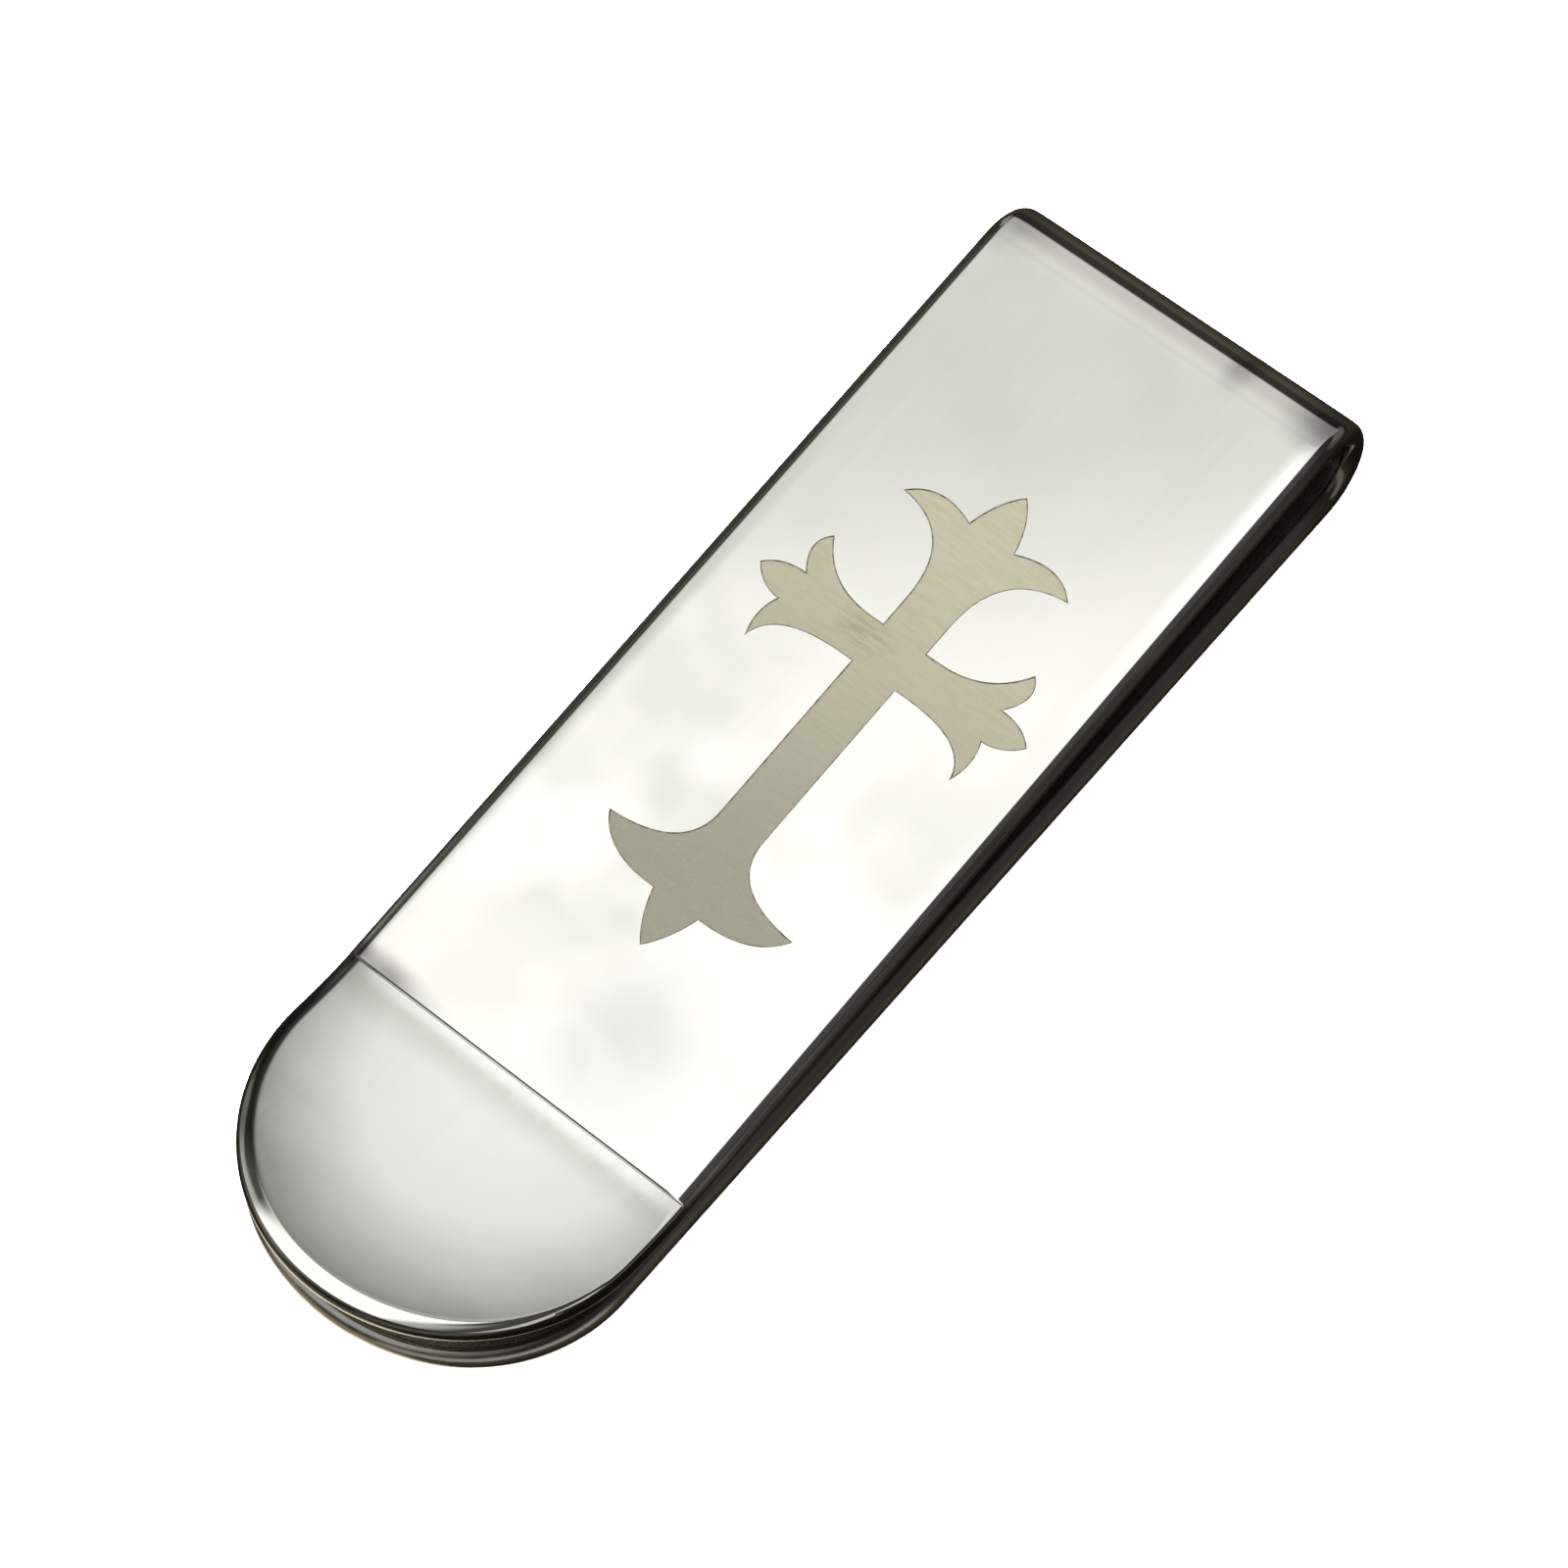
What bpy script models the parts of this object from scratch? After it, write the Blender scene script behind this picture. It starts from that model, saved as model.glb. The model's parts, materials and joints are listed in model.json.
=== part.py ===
"""A folded spring-steel money clip: a flat back leaf, a U-shaped spring bend and a sloping front leaf.

The front leaf carries an etched cross and ends in a rounded lip, bent up so that notes slide in.
The clip lies along Y, with the bend at +Y, and rests on the underside of its back leaf at z = 0.
"""

import math

import bmesh
import bpy
from mathutils import Matrix, Vector

MM = 0.001

# Driving dimensions of the strip
LENGTH = 57.2 * MM
WIDTH = 18.5 * MM
SHEET = 1.15 * MM
EDGE_ROUND_SIDE = 0.62 * MM
EDGE_ROUND_DEPTH = 0.55 * MM
EDGE_STEPS = 4

# Driving dimensions of the folds
BEND_RADIUS = 2.85 * MM
PINCH_GAP = 0.4 * MM
FACE_LENGTH = 44.9 * MM
LIP_LENGTH = 12.3 * MM
LIP_RISE = math.radians(7.0)
END_ROUND_LENGTH = 8.2 * MM
LIP_ROUND_LENGTH = 8.7 * MM
END_STEPS = 28
BEND_STEPS = 20

# The etched cross
ETCH_DEPTH = 0.09 * MM
CROSS_FROM_CREASE = 23.72 * MM
CROSS_SHIFT = 0.37 * MM
CURVE_STEPS = 8

# Neighbouring zones of the strip keep this gap
SPLIT_GAP = 0.3 * MM

# Places that follow from the dimensions above
BEND_Y = LENGTH / 2 - BEND_RADIUS
CREASE_Y = LENGTH / 2 - FACE_LENGTH
CREASE_Z = 2 * SHEET + PINCH_GAP
BEND_TO_CREASE = math.hypot(BEND_Y - CREASE_Y, BEND_RADIUS - CREASE_Z)
FRONT_SLOPE = math.atan2(BEND_RADIUS - CREASE_Z, BEND_Y - CREASE_Y) + math.asin(BEND_RADIUS / BEND_TO_CREASE)
FRONT_REACH = math.sqrt(BEND_TO_CREASE**2 - BEND_RADIUS**2)

STEEL = {"color": (0.72, 0.71, 0.67, 1.0), "roughness": 0.16, "metallic": 1.0}
BRIGHT_STEEL = {"color": (0.86, 0.86, 0.83, 1.0), "roughness": 0.1, "metallic": 1.0}


def clear_scene():
    """Removes every object, so the model starts from nothing."""
    for old in list(bpy.data.objects):
        bpy.data.objects.remove(old, do_unlink=True)


def metal(name, look):
    """A metal described by its colour, roughness and metallic value."""
    material = bpy.data.materials.new(name)
    material.use_nodes = True
    shader = material.node_tree.nodes["Principled BSDF"]
    shader.inputs["Base Color"].default_value = look["color"]
    shader.inputs["Roughness"].default_value = look["roughness"]
    shader.inputs["Metallic"].default_value = look["metallic"]
    return material


def add_object(name, bm, material, origin=(0, 0, 0)):
    """Turns a bmesh given in world coordinates into an object whose origin is at the given point."""
    bmesh.ops.recalc_face_normals(bm, faces=bm.faces)
    bmesh.ops.translate(bm, verts=bm.verts, vec=-Vector(origin))
    mesh = bpy.data.meshes.new(name)
    bm.to_mesh(mesh)
    bm.free()
    mesh.materials.append(material)
    mesh.shade_smooth()
    mesh.set_sharp_from_angle(angle=math.radians(35))
    thing = bpy.data.objects.new(name, mesh)
    thing.location = origin
    bpy.context.collection.objects.link(thing)
    return thing


def edge_profile():
    """The rolled-over edge of the sheet, from its underside to its face, as (inset, height) pairs."""
    lower = []
    for step in range(EDGE_STEPS + 1):
        turn = math.pi / 2 * step / EDGE_STEPS
        inset = EDGE_ROUND_SIDE * (1 - math.sin(turn))
        lower.append((inset, EDGE_ROUND_DEPTH * (1 - math.cos(turn))))
    upper = [(inset, SHEET - height) for inset, height in reversed(lower)]
    return lower + upper


def tongue_outline(start, reach, rounding, inset):
    """A strip's outline: straight from start, then a half ellipse of the given length, up to reach.

    Distances run along the strip away from the bend. The outline is drawn at the given inset.
    """
    half = WIDTH / 2 - inset
    straight = reach - rounding
    points = [(half, start)]
    for step in range(END_STEPS + 1):
        turn = math.pi * step / END_STEPS
        points.append((half * math.cos(turn), straight + (rounding - inset) * math.sin(turn)))
    points.append((-half, start))
    return points


def plain_outline(start, end, inset):
    """The outline of a straight stretch of the strip with two square ends."""
    half = WIDTH / 2 - inset
    return [(half, start), (half, end), (-half, end), (-half, start)]


def stack_rings(bm, rings):
    """Joins rings of equal length into a closed solid with a flat cap at each end."""
    loops = [[bm.verts.new(point) for point in ring] for ring in rings]
    count = len(loops[0])
    for low, high in zip(loops, loops[1:]):
        for here in range(count):
            after = (here + 1) % count
            bm.faces.new((low[here], low[after], high[after], high[here]))
    bm.faces.new(list(reversed(loops[0])))
    bm.faces.new(loops[-1])


def sheet_solid(name, outline, placement, material, origin=(0, 0, 0)):
    """A flat stretch of sheet with rolled edges. The outline is a function of the inset.

    Placement takes the flat strip (x, distance from the crease or bend, height) into the world.
    """
    bm = bmesh.new()
    rings = []
    for inset, height in edge_profile():
        rings.append([placement @ Vector((x, along, height)) for x, along in outline(inset)])
    stack_rings(bm, rings)
    return add_object(name, bm, material, origin)


def back_leaf(material):
    """The long flat lower leaf. Its distances run from the bend towards the rounded end."""
    placement = Matrix.Translation((0, BEND_Y, 0)) @ Matrix.Scale(-1, 4, (0, 1, 0))
    reach = BEND_Y + LENGTH / 2
    return sheet_solid(
        "back_leaf", lambda inset: tongue_outline(0, reach, END_ROUND_LENGTH, inset), placement, material
    )


def front_placement():
    """Puts a flat strip on the sloping front leaf, with distances running from the crease to the bend."""
    face = Matrix.Translation((0, CREASE_Y, CREASE_Z)) @ Matrix.Rotation(FRONT_SLOPE, 4, "X")
    return face @ Matrix.Translation((0, 0, -SHEET))


def front_leaf(material, hinge):
    """The sloping upper leaf, from the crease to the bend, with its cross still uncut."""
    start = SPLIT_GAP / 2
    end = FRONT_REACH
    return sheet_solid(
        "front_leaf", lambda inset: plain_outline(start, end, inset), front_placement(), material, hinge
    )


def lift_lip(material, hinge):
    """The rounded end of the upper leaf, bent up from the crease."""
    turned = Matrix.Translation((0, CREASE_Y, CREASE_Z)) @ Matrix.Rotation(-LIP_RISE, 4, "X")
    placement = turned @ Matrix.Scale(-1, 4, (0, 1, 0)) @ Matrix.Translation((0, 0, -SHEET))
    start = SPLIT_GAP / 2
    return sheet_solid(
        "lift_lip",
        lambda inset: tongue_outline(start, LIP_LENGTH, LIP_ROUND_LENGTH, inset),
        placement,
        material,
        hinge,
    )


def spring_bend(material):
    """The U-shaped fold: the strip's rounded section swept around the bend's centre."""
    section = [(WIDTH / 2 - inset, height) for inset, height in edge_profile()]
    section += [(-x, height) for x, height in reversed(section)]
    first = -math.pi / 2 + SPLIT_GAP / BEND_RADIUS
    last = math.pi / 2 + FRONT_SLOPE - SPLIT_GAP / BEND_RADIUS
    rings = []
    for step in range(BEND_STEPS + 1):
        turn = first + (last - first) * step / BEND_STEPS
        out = Vector((0, math.cos(turn), math.sin(turn)))
        centre = Vector((0, BEND_Y, BEND_RADIUS))
        rings.append([centre + Vector((x, 0, 0)) + out * (BEND_RADIUS - height) for x, height in section])
    bm = bmesh.new()
    stack_rings(bm, rings)
    return add_object("spring_bend", bm, material)


def curve_through(start, pull, end):
    """Points of a quadratic curve from start to end that leans towards pull, leaving out the end."""
    points = []
    for step in range(CURVE_STEPS):
        t = step / CURVE_STEPS
        x = (1 - t) ** 2 * start[0] + 2 * t * (1 - t) * pull[0] + t**2 * end[0]
        y = (1 - t) ** 2 * start[1] + 2 * t * (1 - t) * pull[1] + t**2 * end[1]
        points.append((x, y))
    return points


def cross_half():
    """The right half of the cross, from its top tip to its bottom tip, in millimetres about its crossing.

    Each arm ends in three leaves: a tip on the arm's line and a curled prong on each side.
    """
    half = []
    # Top arm: middle leaf, then the prong, then the sweep down to the crossing
    half += curve_through((0, 9.2), (0.87, 8.4), (1.23, 6.85))
    half += curve_through((1.23, 6.85), (3.28, 7.7), (4.46, 6.4))
    half += curve_through((4.46, 6.4), (1.18, 6.1), (1.18, 2.6))
    half += [(1.18, 2.6)]
    # Side arm: upper prong, middle leaf, lower prong
    half += [(1.18, 1.05)]
    half += curve_through((1.95, 1.05), (4.31, 1.1), (5.44, 3.0))
    half += curve_through((5.44, 3.0), (6.36, 2.2), (5.34, 0.95))
    half += curve_through((5.34, 0.95), (6.57, 0.95), (7.23, 0.2))
    half += curve_through((7.23, 0.2), (6.57, -0.65), (5.54, -0.7))
    half += curve_through((5.54, -0.7), (6.0, -1.7), (5.54, -2.85))
    half += curve_through((5.54, -2.85), (5.23, -1.1), (1.95, -1.05))
    half += [(1.95, -1.05)]
    # Long arm: straight shaft, sweep out to the prong, middle leaf
    half += [(1.18, -1.05)]
    half += curve_through((1.18, -9.8), (1.33, -12.1), (4.98, -12.3))
    half += curve_through((4.98, -12.3), (4.0, -13.95), (1.23, -13.9))
    half += curve_through((1.23, -13.9), (0.82, -15.3), (0, -16.2))
    half += [(0, -16.2)]
    return half


def cross_cutter():
    """A prism in the shape of the cross that reaches from just above the face to the etched depth."""
    right = cross_half()
    left = [(-x, y) for x, y in reversed(right[1:-1])]
    place = front_placement() @ Matrix.Translation((CROSS_SHIFT, CROSS_FROM_CREASE, SHEET))
    bm = bmesh.new()
    rings = []
    for height in (-ETCH_DEPTH, ETCH_DEPTH):
        rings.append([place @ Vector((x * MM, y * MM, height)) for x, y in right + left])
    stack_rings(bm, rings)
    cutter = add_object("cross_cutter", bm, metal("cutter_grey", STEEL))
    cutter.hide_render = True
    cutter.display_type = "WIRE"
    return cutter


def etch(target, cutter):
    """Takes the cutter's shape out of the target's face."""
    cut = target.modifiers.new("etched_cross", "BOOLEAN")
    cut.operation = "DIFFERENCE"
    cut.solver = "EXACT"
    cut.object = cutter


def build():
    clear_scene()
    hinge = (0, BEND_Y, BEND_RADIUS)
    back_leaf(metal("back_leaf_steel", STEEL))
    spring_bend(metal("spring_bend_steel", STEEL))
    front = front_leaf(metal("front_leaf_steel", BRIGHT_STEEL), hinge)
    lift_lip(metal("lift_lip_steel", BRIGHT_STEEL), hinge)
    etch(front, cross_cutter())


build()
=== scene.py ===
"""Looks for a folded spring-steel money clip: three runs of one polished strip, studio light and camera.

The strip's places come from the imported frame. A run is a distance along the upper leaf from its crease.
"""

import json
import math

import bmesh
import bpy
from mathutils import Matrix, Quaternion, Vector


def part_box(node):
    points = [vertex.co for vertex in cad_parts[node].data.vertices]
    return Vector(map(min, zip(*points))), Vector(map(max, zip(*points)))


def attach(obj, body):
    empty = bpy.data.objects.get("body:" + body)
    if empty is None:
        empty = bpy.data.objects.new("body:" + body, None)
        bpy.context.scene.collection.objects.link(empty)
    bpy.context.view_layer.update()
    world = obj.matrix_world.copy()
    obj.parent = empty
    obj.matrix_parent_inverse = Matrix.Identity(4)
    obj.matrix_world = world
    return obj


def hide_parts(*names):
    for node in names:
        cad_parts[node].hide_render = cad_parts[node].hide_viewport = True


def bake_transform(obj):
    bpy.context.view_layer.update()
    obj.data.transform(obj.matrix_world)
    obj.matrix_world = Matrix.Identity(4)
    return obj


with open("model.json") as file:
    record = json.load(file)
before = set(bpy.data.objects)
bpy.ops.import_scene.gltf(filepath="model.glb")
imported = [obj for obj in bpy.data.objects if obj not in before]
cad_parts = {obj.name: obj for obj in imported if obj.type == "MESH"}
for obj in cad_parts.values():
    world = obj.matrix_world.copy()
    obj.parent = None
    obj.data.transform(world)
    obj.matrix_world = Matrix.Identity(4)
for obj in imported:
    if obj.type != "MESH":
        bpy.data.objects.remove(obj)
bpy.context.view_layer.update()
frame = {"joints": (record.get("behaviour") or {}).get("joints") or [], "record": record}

MM = 0.001

# The sheet's section: a slow shoulder along the outer face, then a rolled edge
SHOULDER_INSET = 1.3 * MM
SHOULDER_DROP = 0.015 * MM
SHOULDER_MARGIN = 0.05 * MM
SHOULDER_STEPS = 4
ROLL_SIDE = 0.62 * MM
ROLL_STEPS = 10
ROLL_DEPTH = 0.48

# How much wider or narrower the rolled edge is on the lip, by side
LIP_ROLL_LEFT = 1.3
LIP_ROLL_RIGHT = 0.3
LIP_ROLL_TIP = 1.9

# From this part of the lip's length on, the upper half of its rolled edge is polished too
POLISHED_RIM_FROM = 0.55

# The rounded ends and the folds
END_ROUND_LENGTH = 8.2 * MM
LIP_ROUND_LENGTH = 9.0 * MM
END_STEPS = 72
BEND_STEPS = 72
BEND_TAIL = 0.6 * MM
LIP_FLARE = 2.4 * MM
LIP_EXTRA_RISE = math.radians(0.5)
CREASE_KINK = math.radians(1.3)
GROOVE_HALF_WIDTH = 0.07 * MM
GROOVE_DEPTH = 0.05 * MM

# The etched cross
ETCH_DEPTH = 0.03 * MM
BURN_WIDTH = 0.06 * MM
CROSS_FROM_CREASE = 23.72 * MM
CROSS_SHIFT = 0.37 * MM
CURVE_STEPS = 14

# Camera: the direction it looks from, about a point near the object's middle
CAMERA_ELEVATION = math.radians(62.94)
CAMERA_AZIMUTH = math.radians(-41.73)
CAMERA_ROLL = math.radians(-9.12)
CAMERA_DISTANCE = 242.3 * MM
CAMERA_LENS = 133.5
CAMERA_AIM = Vector((0, 0.77 * MM, 2.5 * MM))

# Edges that turn by more than this stay sharp
SHARP_ANGLE = math.radians(20)

# The dark brown of a painted dark reflection on the lip's rim
PAINTED_DARK_REFLECTION = (0.11, 0.10, 0.085)

FLOOR_STEPS = 96


# ---------------------------------------------------------------- places of the strip


def mount_plane(name):
    """A mount's point and outward normal, from the record."""
    for mount in frame["record"]["mounts"]:
        if mount["name"] == name:
            return Vector(mount["pos_m"]), Vector(mount["axis"]).normalized()
    raise ValueError(name)


def meeting_line(point_a, up_a, point_b, up_b):
    """The point on the centre plane where two planes across the strip meet."""
    reach_a = point_a.y * up_a.y + point_a.z * up_a.z
    reach_b = point_b.y * up_b.y + point_b.z * up_b.z
    size = up_a.y * up_b.z - up_a.z * up_b.y
    y = (reach_a * up_b.z - reach_b * up_a.z) / size
    z = (up_a.y * reach_b - up_b.y * reach_a) / size
    return Vector((0, y, z))


class Strip:
    """The folded strip's planes, folds and sizes, as the frame gives them."""

    def __init__(self):
        back_low, back_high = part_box("back_leaf")
        lip_low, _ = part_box("lift_lip")
        self.half_width = (back_high.x - back_low.x) / 2
        self.sheet = back_high.z - back_low.z
        self.tip_y = back_low.y
        self.hinge = Vector(frame["joints"][0]["pos_m"])
        face_point, face_up = mount_plane("front_face")
        lip_point, lip_up = mount_plane("thumb_face")
        self.crease = meeting_line(face_point, face_up, lip_point, lip_up)
        self.slope = math.atan2(-face_up.y, face_up.z)
        self.rise = math.atan2(lip_up.y, lip_up.z) + LIP_EXTRA_RISE
        self.face_along = Vector((0, face_up.z, -face_up.y))
        self.face_run = (self.hinge - self.crease).dot(self.face_along)
        self.lip_run = (self.crease.y - lip_low.y - self.sheet / 2 * lip_up.y) / lip_up.z

    def up_at(self, run):
        """The upper leaf's normal at a run: constant on the face, then turning along the lip's flare."""
        lean = -self.slope
        if run < 0:
            lean = self.lip_lean(-run)
        elif run == 0:
            lean += CREASE_KINK / 2
        return Vector((0, math.sin(lean), math.cos(lean)))

    def lip_lean(self, distance):
        """How far the lip leans up at a distance from the crease."""
        first = CREASE_KINK - self.slope
        return first + (self.rise - first) * min(distance / LIP_FLARE, 1)

    def lip_point(self, distance):
        """The lip's face at a distance from the crease: an arc of even turning, then straight."""
        first = CREASE_KINK - self.slope
        turning = (self.rise - first) / LIP_FLARE
        lean = self.lip_lean(distance)
        y = -(math.sin(lean) - math.sin(first)) / turning
        z = -(math.cos(lean) - math.cos(first)) / turning
        rest = max(distance - LIP_FLARE, 0)
        return Vector((0, y - rest * math.cos(lean), z + rest * math.sin(lean)))

    def on_upper(self, x, run, height):
        """A point of the upper leaf: run is positive towards the bend and negative on the lip.

        The height is counted from the leaf's face, so it is negative inside the metal.
        """
        place = self.crease + Vector((x, 0, 0)) + height * self.up_at(run)
        if run < 0:
            return place + self.lip_point(-run)
        return place + run * self.face_along

    def on_bend(self, x, turn, depth):
        """A point of the bend, at an angle about its centre and a depth below its outer face."""
        out = Vector((0, math.cos(turn), math.sin(turn)))
        return self.hinge + Vector((x, 0, 0)) + (self.hinge.z - depth) * out


strip = Strip()


# ---------------------------------------------------------------- materials


class Nodes:
    """Short calls for building one node tree."""

    def __init__(self, tree):
        self.tree = tree

    def add(self, kind, **settings):
        node = self.tree.nodes.new("ShaderNode" + kind)
        for name, value in settings.items():
            setattr(node, name, value)
        return node

    def feed(self, value, socket):
        """Links a socket to the input, or sets a constant number or colour on it."""
        if isinstance(value, (int, float)):
            socket.default_value = value
        elif isinstance(value, tuple):
            socket.default_value = (*value, 1)
        else:
            self.tree.links.new(value, socket)

    def split(self, vector):
        """The three components of a vector."""
        node = self.add("SeparateXYZ")
        self.feed(vector, node.inputs["Vector"])
        return list(node.outputs)

    def math(self, operation, first, second):
        node = self.add("Math", operation=operation)
        self.feed(first, node.inputs[0])
        self.feed(second, node.inputs[1])
        return node.outputs["Value"]

    def product(self, *factors):
        result = factors[0]
        for factor in factors[1:]:
            result = self.math("MULTIPLY", result, factor)
        return result

    def remap(self, value, low, high, new_low=0.0, new_high=1.0):
        """A smooth step from new_low at low to new_high at high."""
        node = self.add("MapRange", interpolation_type="SMOOTHSTEP")
        self.feed(value, node.inputs["Value"])
        node.inputs["From Min"].default_value = low
        node.inputs["From Max"].default_value = high
        node.inputs["To Min"].default_value = new_low
        node.inputs["To Max"].default_value = new_high
        return node.outputs["Result"]

    def ramp(self, factor, stops):
        """A colour ramp with (position, colour) stops."""
        node = self.add("ValToRGB")
        elements = node.color_ramp.elements
        while len(elements) < len(stops):
            elements.new(0.5)
        for element, (position, color) in zip(elements, stops):
            element.position = position
            element.color = (*color, 1)
        self.feed(factor, node.inputs["Fac"])
        return node.outputs["Color"]

    def mix(self, factor, first, second):
        """The first colour where the factor is 0, blending to the second where it is 1."""
        node = self.add("Mix", data_type="RGBA", blend_type="MIX")
        inputs = [socket for socket in node.inputs if socket.enabled]
        for value, socket in zip((factor, first, second), inputs):
            self.feed(value, socket)
        return [socket for socket in node.outputs if socket.enabled][0]


class Paint(Nodes):
    """A new material, painted by the object's coordinates."""

    def __init__(self, name):
        self.material = bpy.data.materials.new(name)
        self.material.use_nodes = True
        super().__init__(self.material.node_tree)
        self.shader = self.tree.nodes["Principled BSDF"]
        self.place = self.add("TexCoord").outputs["Object"]

    def noise(self, scale, detail=3.0, roughness=0.5, stretch=(1, 1, 1), turn=0.0):
        """Noise over the object's coordinates, turned about Z and stretched along each axis."""
        mapping = self.add("Mapping")
        mapping.inputs["Rotation"].default_value = (0, 0, math.radians(turn))
        mapping.inputs["Scale"].default_value = stretch
        self.feed(self.place, mapping.inputs["Vector"])
        node = self.add("TexNoise")
        node.inputs["Scale"].default_value = scale
        node.inputs["Detail"].default_value = detail
        node.inputs["Roughness"].default_value = roughness
        self.feed(mapping.outputs["Vector"], node.inputs["Vector"])
        return node.outputs["Fac"]

    def reach(self, middle, sizes):
        """How far a place is from a middle, where each axis is measured in its own size."""
        shift = self.add("VectorMath", operation="SUBTRACT")
        self.feed(self.place, shift.inputs[0])
        shift.inputs[1].default_value = middle
        shrink = self.add("VectorMath", operation="DIVIDE")
        self.feed(shift.outputs["Vector"], shrink.inputs[0])
        shrink.inputs[1].default_value = sizes
        length = self.add("VectorMath", operation="LENGTH")
        self.feed(shrink.outputs["Vector"], length.inputs[0])
        return length.outputs["Value"]

    def finish(self, color, roughness, metallic, bumps):
        """Sets the shader. Bumps are (height, strength, distance) layers, stacked into one normal."""
        self.feed(color, self.shader.inputs["Base Color"])
        self.feed(roughness, self.shader.inputs["Roughness"])
        self.shader.inputs["Metallic"].default_value = metallic
        normal = None
        for height, strength, distance in bumps:
            node = self.add("Bump")
            node.inputs["Strength"].default_value = strength
            node.inputs["Distance"].default_value = distance
            self.feed(height, node.inputs["Height"])
            if normal is not None:
                self.feed(normal, node.inputs["Normal"])
            normal = node.outputs["Normal"]
        self.feed(normal, self.shader.inputs["Normal"])
        return self.material


def face_shade_and_stain():
    """Dark patches on the front face, as (middle, sizes, strength): painted shade by the bend and at the
    crease's left end.

    The last one is a wide and faint stain a little above the crease.
    """
    top = strip.hinge + Vector((0, 1.2 * MM, strip.hinge.z))
    side = Vector((strip.half_width, 0, 0))
    return [
        # Painted shade at the bend's corners and beside it
        (top + side, (3.6 * MM, 2.6 * MM, 5.5 * MM), 0.95),
        (top - side, (4.2 * MM, 2.6 * MM, 5.5 * MM), 0.6),
        (top + side * 0.42, (1.1 * MM, 1.9 * MM, 5.5 * MM), 0.5),
        # Painted shade at the crease's left end
        (strip.crease - side * 0.95 + Vector((0, 0.15 * MM, 0)), (5.5 * MM, 1.1 * MM, 2.5 * MM), 0.95),
        (strip.crease + Vector((2.5 * MM, 4.1 * MM, 0)), (4.3 * MM, 5.0 * MM, 2.5 * MM), 0.22),
    ]


def polished_face():
    """Mirror-polished steel with faint clouds and hairline scratches, painted shade by the bend and the
    crease, a faint stain, and a painted dark reflection on the lip's left rim.
    """
    paint = Paint("polished_face")
    clouds = paint.noise(170, 2.0, 0.45)
    hairs = paint.noise(1, 4.0, 0.6, (2600, 60, 60), 24)
    waves = paint.noise(90, 1.0, 0.4)
    across, along, height = paint.split(paint.place)
    stained = paint.ramp(clouds, [(0.36, (0.75, 0.755, 0.70)), (0.53, (0.94, 0.94, 0.91))])
    clean = paint.math(
        "MAXIMUM",
        paint.remap(along, strip.crease.y + 10 * MM, strip.crease.y + 26 * MM, 0.1, 0.8),
        paint.remap(along, strip.crease.y + 4 * MM, strip.crease.y + 9 * MM, 0.65, 0.0),
    )
    color = paint.mix(clean, stained, (0.935, 0.935, 0.905))
    # Painted shade on the face where it runs into the bend
    painted_bend_shade = paint.remap(along, strip.hinge.y - 0.3 * MM, strip.hinge.y, 0.0, 0.31)
    color = paint.mix(painted_bend_shade, color, (0.45, 0.45, 0.43))
    patchiness = paint.noise(330, 1.0, 0.4)
    # Painted shade by the bend and the crease, and one faint stain, made patchy by noise
    for middle, sizes, strength in face_shade_and_stain():
        near = paint.remap(paint.reach(middle, sizes), 0.1, 1.0, strength, 0.0)
        painted_shade_and_stain = paint.product(near, paint.remap(patchiness, 0.3, 0.6, 0.6, 1.0))
        color = paint.mix(painted_shade_and_stain, color, (0.16, 0.15, 0.155))
    # A painted dark reflection on the lip's left rim
    painted_dark_rim = paint.product(
        paint.remap(across, -4 * MM, -6 * MM, 0.0, 0.85),
        paint.remap(along, strip.crease.y - 1 * MM, strip.crease.y - 3 * MM),
        paint.remap(along, strip.crease.y - 10.5 * MM, strip.crease.y - 8.5 * MM),
        paint.remap(height, strip.sheet, 1.2 * strip.sheet),
    )
    color = paint.mix(painted_dark_rim, color, PAINTED_DARK_REFLECTION)
    roughness = paint.remap(hairs, 0.35, 0.75, 0.06, 0.085)
    return paint.finish(color, roughness, 1.0, [(waves, 0.12, 0.0002), (hairs, 0.02, 0.00001)])


def polished_lip():
    """The lip's steel, with painted shade: bright in the middle and darker towards its rim."""
    paint = Paint("polished_lip")
    away = paint.reach(strip.crease + Vector((0.5 * MM, 0, 0)), (11.1 * MM, 0.93 * strip.lip_run, 1))
    hairs = paint.noise(1, 4.0, 0.6, (2200, 90, 90), -35)
    patchiness = paint.noise(240, 3.0, 0.5, (1, 2.2, 1), 20)
    painted_lip_falloff = paint.math("ADD", away, paint.product(patchiness, 0.08))
    # Painted shade: the colour darkens from the lip's middle to its rim, standing in for its reflection
    # falling off
    color = paint.ramp(
        painted_lip_falloff,
        [
            (0.30, (0.97, 0.97, 0.95)),
            (0.62, (0.88, 0.88, 0.86)),
            (0.84, (0.58, 0.58, 0.56)),
            (1.0, (0.34, 0.34, 0.32)),
        ],
    )
    roughness = paint.remap(hairs, 0.35, 0.75, 0.09, 0.16)
    return paint.finish(color, roughness, 1.0, [(hairs, 0.06, 0.00001), (patchiness, 0.04, 0.0001)])


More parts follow.
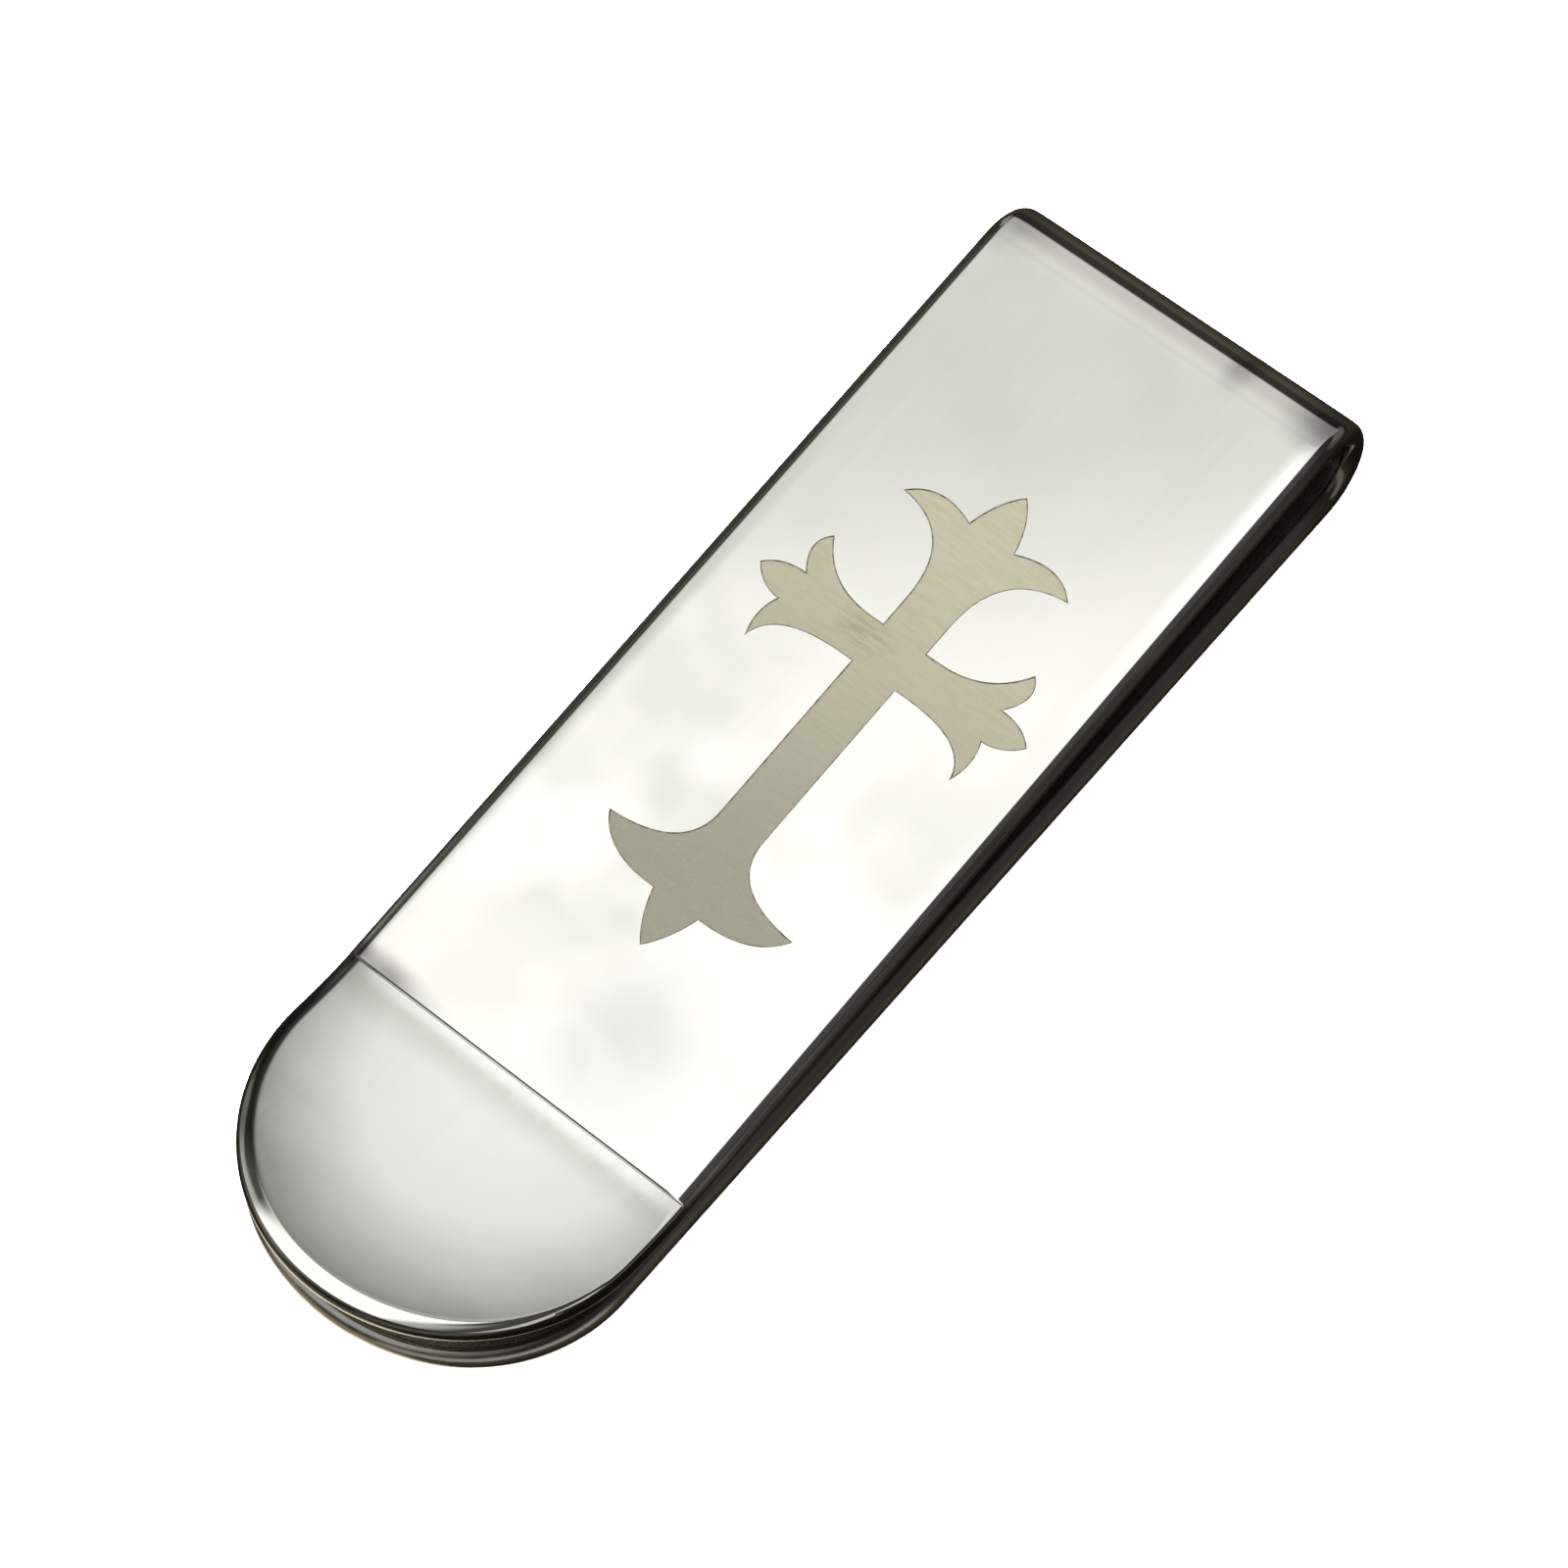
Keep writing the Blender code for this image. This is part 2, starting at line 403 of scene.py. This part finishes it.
def rolled_edge():
    """The strip's rolled edges: drawn steel with long streaks, with painted shade near the lip's end and
    by the bend, and a painted dark reflection on the lip's rim.
    """
    paint = Paint("rolled_edge")
    streaks = paint.noise(1, 4.0, 0.55, (900, 25, 2200))
    blotches = paint.noise(260)
    steel = paint.ramp(streaks, [(0.3, (0.44, 0.40, 0.385)), (0.7, (0.64, 0.63, 0.575))])
    color = paint.mix(paint.remap(blotches, 0.35, 0.7, 0.0, 0.5), steel, (0.50, 0.465, 0.44))
    _, along, height = paint.split(paint.place)
    # Painted shade near the lip's end, on the rolled edges from the top of the back leaf's edge upwards
    near_tip = paint.remap(along, strip.crease.y + 2 * MM, strip.crease.y - 3 * MM)
    above = paint.remap(height, 0.75 * strip.sheet, strip.sheet, 0.0, 0.75)
    color = paint.mix(paint.product(near_tip, above), color, (0.17, 0.155, 0.135))
    # A painted dark reflection on the lip's rolled edge near its end, for the back leaf it faces
    on_lip = paint.remap(height, 1.3 * strip.sheet, 1.9 * strip.sheet, 0.0, 0.85)
    color = paint.mix(paint.product(near_tip, on_lip), color, PAINTED_DARK_REFLECTION)
    # Painted shade on the rolled edges by the bend
    painted_bend_edge_shade = paint.remap(along, strip.hinge.y - 2.5 * MM, strip.hinge.y + 0.5 * MM, 0.0, 0.8)
    color = paint.mix(painted_bend_edge_shade, color, (0.13, 0.125, 0.095))
    roughness = paint.remap(streaks, 0.3, 0.75, 0.14, 0.26)
    return paint.finish(color, roughness, 1.0, [(streaks, 0.15, 0.00003)])


def drawn_steel():
    """The strip's inner faces: satin steel with drawing lines along its length."""
    paint = Paint("drawn_steel")
    lines = paint.noise(1, 5.0, 0.6, (2400, 30, 400))
    clouds = paint.noise(140)
    base = paint.ramp(clouds, [(0.35, (0.52, 0.51, 0.47)), (0.65, (0.66, 0.655, 0.61))])
    color = paint.mix(paint.remap(lines, 0.3, 0.7, 0.0, 0.25), base, (0.44, 0.43, 0.39))
    roughness = paint.remap(lines, 0.3, 0.75, 0.2, 0.36)
    return paint.finish(color, roughness, 1.0, [(lines, 0.1, 0.00002)])


def etched_steel():
    """The cross: matt etched steel with fine slanted brushing, with painted shade that runs from lighter
    and warmer above to darker and greyer below.
    """
    paint = Paint("etched_steel")
    middle_y = strip.crease.y + CROSS_FROM_CREASE
    along = paint.remap(paint.split(paint.place)[1], middle_y - 14 * MM, middle_y + 8 * MM)
    # Painted shade along the cross: lighter and warmer towards the bend, darker and greyer towards the
    # crease
    base = paint.ramp(
        along, [(0.0, (0.165, 0.16, 0.125)), (0.5, (0.222, 0.212, 0.157)), (1.0, (0.27, 0.257, 0.19))]
    )
    brushing = paint.noise(1, 4.0, 0.65, (700, 5200, 700), 28)
    grain = paint.noise(9000, 2.0, 0.6)
    color = paint.mix(paint.remap(brushing, 0.3, 0.7, 0.0, 0.16), base, (0.18, 0.172, 0.138))
    color = paint.mix(paint.remap(grain, 0.55, 0.8, 0.0, 0.18), color, (0.36, 0.355, 0.31))
    crossing = strip.on_upper(CROSS_SHIFT - 1.6 * MM, CROSS_FROM_CREASE + 0.3 * MM, 0)
    near = paint.remap(paint.reach(crossing, (1.9 * MM, 1.3 * MM, 3 * MM)), 0.2, 1.0, 0.45, 0.0)
    scorch = paint.product(near, paint.remap(brushing, 0.4, 0.62, 0.1, 1.0))
    color = paint.mix(scorch, color, (0.15, 0.138, 0.068))
    roughness = paint.remap(brushing, 0.3, 0.75, 0.44, 0.52)
    return paint.finish(color, roughness, 0.75, [(brushing, 0.12, 0.00002), (grain, 0.15, 0.00001)])


def burnt_rim():
    """The thin brown line that the etching left round the cross."""
    paint = Paint("burnt_rim")
    specks = paint.noise(2600, 4.0, 0.6)
    color = paint.ramp(specks, [(0.36, (0.11, 0.075, 0.05)), (0.58, (0.30, 0.27, 0.205))])
    return paint.finish(color, 0.5, 0.9, [(specks, 0.2, 0.00001)])


def pale_floor():
    """Smooth pale card under the clip."""
    paint = Paint("pale_floor")
    fibres = paint.noise(400, 4.0, 0.6)
    color = paint.ramp(fibres, [(0.3, (0.90, 0.90, 0.895)), (0.7, (0.93, 0.93, 0.925))])
    return paint.finish(color, 0.8, 0.0, [(fibres, 0.05, 0.0001)])


FACE, LIP, EDGE, INNER, ETCHED, BURNT = range(6)
STRIP_MATERIALS = [
    polished_face(),
    polished_lip(),
    rolled_edge(),
    drawn_steel(),
    etched_steel(),
    burnt_rim(),
]


# ---------------------------------------------------------------- the strip's geometry


def section_side():
    """One side of the strip's section, from the inner face round to the outer face.

    Each item is an inset from the strip's side and a height, which is zero at the outer face.
    """
    depth = strip.sheet * ROLL_DEPTH
    inner = []
    outer = []
    for step in range(ROLL_STEPS + 1):
        turn = math.pi / 2 * step / ROLL_STEPS
        inset = ROLL_SIDE * (1 - math.sin(turn))
        inner.append((inset, -strip.sheet + depth * (1 - math.cos(turn))))
        outer.append((inset, -SHOULDER_DROP - (depth - SHOULDER_DROP) * (1 - math.cos(turn))))
    outer.reverse()
    for step in range(1, SHOULDER_STEPS + 1):
        part = step / SHOULDER_STEPS
        inset = ROLL_SIDE + (SHOULDER_INSET - ROLL_SIDE) * part
        outer.append((inset, -SHOULDER_DROP * (1 - part) ** 2))
    return inner + outer + [(SHOULDER_INSET + SHOULDER_MARGIN, 0)]


def side_material(level, outer_material):
    """The material between one section level and the next: the rolled edge, or the outer face's."""
    bright_from = 2 * ROLL_STEPS - ROLL_STEPS // 3
    return outer_material if level >= bright_from else EDGE


def rounded_end(inset, reach, length, right=1.0, left=1.0, tip=1.0):
    """The half-ellipse end of a leaf, from its right side to its left, as (x, distance) pairs.

    Right, left and tip scale the inset on those sides.
    """
    straight = reach - length
    points = []
    for step in range(END_STEPS + 1):
        turn = math.pi * step / END_STEPS
        half = strip.half_width - inset * (right if step < END_STEPS / 2 else left)
        points.append((half * math.cos(turn), straight + (length - inset * tip) * math.sin(turn)))
    return points


def new_piece(name, bm, body, stands_for):
    """Turns a bmesh into a smooth-shaded piece that stands for CAD nodes."""
    bmesh.ops.recalc_face_normals(bm, faces=bm.faces)
    mesh = bpy.data.meshes.new(name)
    bm.to_mesh(mesh)
    bm.free()
    for material in STRIP_MATERIALS:
        mesh.materials.append(material)
    mesh.shade_smooth()
    mesh.set_sharp_from_angle(angle=SHARP_ANGLE)
    piece = bpy.data.objects.new(name, mesh)
    bpy.context.scene.collection.objects.link(piece)
    if body:
        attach(piece, body)
    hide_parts(*stands_for)
    return piece


def bridge(bm, low, high, material):
    """Quads between two closed rings of vertices."""
    made = []
    for here in range(len(low)):
        after = (here + 1) % len(low)
        made.append(bm.faces.new((low[here], low[after], high[after], high[here])))
        made[-1].material_index = material
    return made


def fill(bm, rim, material):
    """One flat face over a ring of vertices."""
    face = bm.faces.new(rim)
    face.material_index = material


def back_leaf():
    """The lower leaf, lying flat, with the strip's outer face down."""
    bm = bmesh.new()
    start_y = strip.hinge.y - BEND_TAIL
    reach = start_y - strip.tip_y
    rings = []
    for inset, height in section_side():
        outline = [(strip.half_width - inset, 0)] + rounded_end(inset, reach, END_ROUND_LENGTH)
        outline.append((-strip.half_width + inset, 0))
        rings.append([bm.verts.new((x, start_y - run, -height)) for x, run in outline])
    for level in range(len(rings) - 1):
        bridge(bm, rings[level], rings[level + 1], side_material(level, FACE))
    fill(bm, rings[0], INNER)
    fill(bm, rings[-1], FACE)
    new_piece("clip_back_leaf", bm, "back", ["back_leaf"])


def bend_rings():
    """The section's rings from the lower leaf round to the upper leaf, with a flat tail at each end."""
    right = [(strip.half_width - inset, -height) for inset, height in section_side()]
    section = right + [(-x, depth) for x, depth in reversed(right)]
    first = -math.pi / 2
    sweep = math.pi + strip.slope
    rings = [[strip.on_bend(x, first, depth) + Vector((0, -BEND_TAIL, 0)) for x, depth in section]]
    for step in range(BEND_STEPS + 1):
        turn = first + sweep * step / BEND_STEPS
        rings.append([strip.on_bend(x, turn, depth) for x, depth in section])
    tail = -BEND_TAIL * strip.face_along
    rings.append([strip.on_bend(x, first + sweep, depth) + tail for x, depth in section])
    return rings


def spring_bend():
    """The fold: the strip's section swept round the bend."""
    bm = bmesh.new()
    rings = [[bm.verts.new(point) for point in ring] for ring in bend_rings()]
    levels = len(section_side())
    columns = [side_material(level, FACE) for level in range(levels - 1)]
    columns = columns + [FACE] + list(reversed(columns)) + [INNER]
    for low, high in zip(rings, rings[1:]):
        for here, material in enumerate(columns):
            after = (here + 1) % len(columns)
            face = bm.faces.new((low[here], low[after], high[after], high[here]))
            face.material_index = material
    fill(bm, rings[0], INNER)
    fill(bm, rings[-1], INNER)
    piece = new_piece("clip_spring_bend", bm, None, ["spring_bend"])
    low = Vector((0, strip.hinge.y, strip.sheet))
    high = Vector((0, strip.hinge.y, 2 * strip.hinge.z - strip.sheet - 0.1 * MM))
    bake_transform(piece)


def curve_through(start, pull, end):
    """Points of a quadratic curve from start to end that leans towards pull, leaving out the end."""
    points = []
    for step in range(CURVE_STEPS):
        t = step / CURVE_STEPS
        x = (1 - t) ** 2 * start[0] + 2 * t * (1 - t) * pull[0] + t**2 * end[0]
        y = (1 - t) ** 2 * start[1] + 2 * t * (1 - t) * pull[1] + t**2 * end[1]
        points.append((x, y))
    return points


def cross_outline():
    """The cross as (x, run) pairs: the right half from top to bottom, then its mirror image."""
    right = []
    # Top arm
    right += curve_through((0, 9.2), (0.87, 8.4), (1.23, 6.85))
    right += curve_through((1.23, 6.85), (3.28, 7.7), (4.46, 6.4))
    right += curve_through((4.46, 6.4), (1.18, 6.1), (1.18, 2.6))
    right += [(1.18, 2.6), (1.18, 1.05)]
    # Side arm
    right += curve_through((1.95, 1.05), (4.31, 1.1), (5.44, 3.0))
    right += curve_through((5.44, 3.0), (6.36, 2.2), (5.34, 0.95))
    right += curve_through((5.34, 0.95), (6.57, 0.95), (7.23, 0.2))
    right += curve_through((7.23, 0.2), (6.57, -0.65), (5.54, -0.7))
    right += curve_through((5.54, -0.7), (6.0, -1.7), (5.54, -2.85))
    right += curve_through((5.54, -2.85), (5.23, -1.1), (1.95, -1.05))
    right += [(1.95, -1.05), (1.18, -1.05)]
    # Long arm
    right += curve_through((1.18, -9.8), (1.33, -12.1), (4.98, -12.3))
    right += curve_through((4.98, -12.3), (4.0, -13.95), (1.23, -13.9))
    right += curve_through((1.23, -13.9), (0.82, -15.3), (0, -16.2))
    right += [(0, -16.2)]
    left = [(-x, y) for x, y in reversed(right[1:-1])]
    return [(x * MM + CROSS_SHIFT, y * MM + CROSS_FROM_CREASE) for x, y in right + left]


def fill_between(bm, loops, material):
    """Fills the flat area between an outer ring and the rings inside it with triangles."""
    edges = []
    for loop in loops:
        for here in range(len(loop)):
            pair = (loop[here], loop[(here + 1) % len(loop)])
            edges.append(bm.edges.get(pair) or bm.edges.new(pair))
    made = bmesh.ops.triangle_fill(bm, edges=edges, use_beauty=True, use_dissolve=False)
    faces = [item for item in made["geom"] if isinstance(item, bmesh.types.BMFace)]
    for face in faces:
        face.material_index = material
    return faces


def etch_cross(bm, face_rim):
    """Fills the front face round the cross, sinks the cross and burns its rim."""
    outline = cross_outline()
    top = [bm.verts.new(strip.on_upper(x, run, 0)) for x, run in outline]
    floor = [bm.verts.new(strip.on_upper(x, run, -ETCH_DEPTH)) for x, run in outline]
    fill_between(bm, [face_rim, top], FACE)
    bridge(bm, top, floor, BURNT)
    floor_faces = fill_between(bm, [floor], ETCHED)
    bmesh.ops.recalc_face_normals(bm, faces=floor_faces)
    ring = bmesh.ops.inset_region(bm, faces=floor_faces, thickness=BURN_WIDTH, use_even_offset=True)
    for face in ring["faces"]:
        face.material_index = BURNT


def crease_stations():
    """Runs from the face side of the crease's groove to the end of the lip's flare."""
    runs = [GROOVE_HALF_WIDTH, 0, -GROOVE_HALF_WIDTH]
    steps = 8
    for step in range(1, steps + 1):
        runs.append(-GROOVE_HALF_WIDTH - (LIP_FLARE - GROOVE_HALF_WIDTH) * step / steps)
    return runs


def upper_outline(inset):
    """The upper leaf's outline from its bend end, round the lip and back, as (x, run) pairs."""
    end = strip.face_run - BEND_TAIL
    right = [(strip.half_width - inset, end)]
    left = [(-strip.half_width + inset, end)]
    for run in crease_stations():
        on_lip = run <= 0
        right.append((strip.half_width - inset * (LIP_ROLL_RIGHT if on_lip else 1), run))
        left.append((-strip.half_width + inset * (LIP_ROLL_LEFT if on_lip else 1), run))
    tip = rounded_end(inset, strip.lip_run, LIP_ROUND_LENGTH, LIP_ROLL_RIGHT, LIP_ROLL_LEFT, LIP_ROLL_TIP)
    return right + [(x, -distance) for x, distance in tip] + left[::-1]


def groove_drop(run, height):
    """How far the crease's groove sinks a place. It fades out down the rolled edge."""
    if run != 0:
        return 0
    return GROOVE_DEPTH * max(1 + 2 * height / strip.sheet, 0)


def cover(bm, ring, material):
    """Fills an outline with strips that run straight across it, as both its sides have equal runs."""
    last = len(ring) - 1
    for here in range(last // 2):
        corners = [ring[here], ring[here + 1], ring[last - here - 1], ring[last - here]]
        unique = list(dict.fromkeys(corners))
        face = bm.faces.new(unique)
        face.material_index = material


def upper_leaf():
    """The upper leaf in one piece: front face, crease and rounded lip, with the etched cross."""
    bm = bmesh.new()
    rings = []
    for inset, height in section_side():
        ring = []
        for x, run in upper_outline(inset):
            place = strip.on_upper(x, run, height - groove_drop(run, height))
            ring.append(bm.verts.new(place))
        rings.append(ring)
    for level in range(len(rings) - 1):
        for face in bridge(bm, rings[level], rings[level + 1], side_material(level, FACE)):
            to_tip = strip.crease.y - face.calc_center_median().y
            if to_tip > 0 and level >= 2 * ROLL_STEPS - 1:
                face.material_index = LIP
            elif to_tip > POLISHED_RIM_FROM * strip.lip_run and level >= 2 * ROLL_STEPS - ROLL_STEPS // 2:
                face.material_index = FACE
    cover(bm, rings[0], INNER)
    top = rings[-1]
    cover(bm, top[1:-1], LIP)
    etch_cross(bm, [top[0], top[1], top[-2], top[-1]])
    new_piece("clip_upper_leaf", bm, "front", ["front_leaf", "lift_lip"])


# ---------------------------------------------------------------- studio


def horizon_panels(kit, x, y):
    """Tall panels round the horizon with dark gaps between them, as a colour by compass direction."""
    dark = (0.04, 0.038, 0.035)
    panels = [
        (0.0, 0.14, 0.55),
        (0.25, 0.51, 0.5),
        (0.60, 0.77, 0.33),
        (0.86, 0.89, 0.45),
        (0.985, 1.0, 0.55),
    ]
    stops = []
    for start, end, level in panels:
        panel = (level, level, level * 0.96)
        stops += [(start - 0.015, dark), (start, panel), (end, panel), (end + 0.015, dark)]
    stops = [stop for stop in stops if 0 <= stop[0] <= 1]
    compass = kit.math("ADD", kit.product(kit.math("ARCTAN2", y, x), 0.5 / math.pi), 0.5)
    return kit.ramp(compass, stops)


def studio_world():
    """A dark room, painted by direction: a slanted softbox overhead and a grey wall beyond the bend.

    Panels stand round the horizon, a dimmer light hangs over the lip's end, and a warm glow comes from
    low down on that side.
    """
    world = bpy.data.worlds.new("studio")
    bpy.context.scene.world = world
    world.use_nodes = True
    kit = Nodes(world.node_tree)
    x, y, z = kit.split(kit.add("TexCoord").outputs["Generated"])
    room = kit.ramp(
        kit.remap(z, -1.0, 1.0),
        [
            (0.0, (0.02, 0.018, 0.014)),
            (0.38, (0.09, 0.08, 0.06)),
            (0.5, (0.04, 0.038, 0.033)),
            (0.7, (0.035, 0.033, 0.032)),
            (1.0, (0.06, 0.058, 0.056)),
        ],
    )
    above = kit.remap(z, 0.24, 0.32)
    wall = kit.product(
        kit.remap(x, -0.56, -0.44), kit.remap(x, 0.10, 0.0), kit.remap(y, -0.05, 0.15), above
    )
    far_side = kit.remap(kit.math("SUBTRACT", y, kit.product(x, 0.8)), 0.53, 0.45)
    left_side = kit.remap(kit.math("SUBTRACT", x, kit.product(y, 0.5)), -0.58, -0.48)
    box = kit.product(left_side, kit.remap(x, 0.08, -0.04), kit.remap(y, -0.85, -0.55), far_side, above)
    wall_color = kit.ramp(
        y,
        [
            (0.25, (0.69, 0.695, 0.65)),
            (0.40, (0.88, 0.88, 0.85)),
            (0.5, (0.88, 0.88, 0.85)),
            (0.75, (0.72, 0.72, 0.68)),
        ],
    )
    sideways = kit.product(kit.remap(x, 0.25, -0.1), kit.remap(x, -0.75, -0.5))
    glow = kit.product(kit.remap(y, 0.29, -0.05), kit.remap(z, 0.45, 0.1), sideways)
    glow_color = kit.mix(kit.remap(z, -0.2, -0.85), (0.36, 0.325, 0.24), (2.6, 2.4, 1.95))
    light = kit.mix(kit.remap(x, -0.5, -0.8), room, (0.075, 0.078, 0.06))
    round_horizon = kit.product(kit.remap(z, 0.04, 0.14), kit.remap(z, 0.62, 0.5))
    light = kit.mix(round_horizon, light, horizon_panels(kit, x, y))
    light = kit.mix(glow, light, glow_color)
    light = kit.mix(wall, light, wall_color)
    near_side = kit.product(
        kit.remap(x, 0.42, 0.12), kit.remap(y, -0.05, -0.25), kit.remap(y, -0.8, -0.5), above
    )
    light = kit.mix(near_side, light, (0.42, 0.43, 0.39))
    light = kit.mix(box, light, (1.10, 1.10, 1.07))
    kit.feed(light, kit.tree.nodes["Background"].inputs["Color"])


def soft_light(name, place, size, power):
    """A large square area light that points at the object's middle and isn't mirrored in the steel."""
    data = bpy.data.lights.new(name, "AREA")
    data.size = size
    data.energy = power
    lamp = bpy.data.objects.new(name, data)
    lamp.location = place
    lamp.rotation_mode = "QUATERNION"
    lamp.rotation_quaternion = (-Vector(place)).to_track_quat("-Z", "Y")
    lamp.visible_glossy = False
    bpy.context.scene.collection.objects.link(lamp)


def floor():
    """A round pale floor with a gently rising rim. The steel doesn't mirror it."""
    bm = bmesh.new()
    rings = []
    for radius, rise in ((0.02, 0), (0.3, 0), (0.45, 0.01), (0.6, 0.05)):
        turns = [2 * math.pi * step / FLOOR_STEPS for step in range(FLOOR_STEPS)]
        rings.append([bm.verts.new((radius * math.cos(a), radius * math.sin(a), rise)) for a in turns])
    for low, high in zip(rings, rings[1:]):
        bridge(bm, low, high, 0)
    fill(bm, rings[0], 0)
    bmesh.ops.recalc_face_normals(bm, faces=bm.faces)
    mesh = bpy.data.meshes.new("floor")
    bm.to_mesh(mesh)
    bm.free()
    mesh.materials.append(pale_floor())
    mesh.shade_smooth()
    ground = bpy.data.objects.new("floor", mesh)
    ground.visible_glossy = False
    bpy.context.scene.collection.objects.link(ground)


def camera():
    """A long lens high over the clip's near right side, rolled a little."""
    data = bpy.data.cameras.new("camera")
    data.lens = CAMERA_LENS
    data.clip_start = 0.01
    eye = bpy.data.objects.new("camera", data)
    flat = math.cos(CAMERA_ELEVATION)
    x = flat * math.cos(CAMERA_AZIMUTH)
    y = flat * math.sin(CAMERA_AZIMUTH)
    away = Vector((x, y, math.sin(CAMERA_ELEVATION)))
    eye.location = CAMERA_AIM + CAMERA_DISTANCE * away
    eye.rotation_mode = "QUATERNION"
    eye.rotation_quaternion = (-away).to_track_quat("-Z", "Y") @ Quaternion((0, 0, 1), CAMERA_ROLL)
    bpy.context.scene.collection.objects.link(eye)
    bpy.context.scene.camera = eye


camera()
studio_world()
soft_light("key", (-0.25, 0.12, 0.7), 0.6, 30)
soft_light("fill", (0.5, -0.4, 0.6), 0.6, 14)
floor()
back_leaf()
spring_bend()
upper_leaf()
bpy.context.scene.view_settings.view_transform = "Standard"
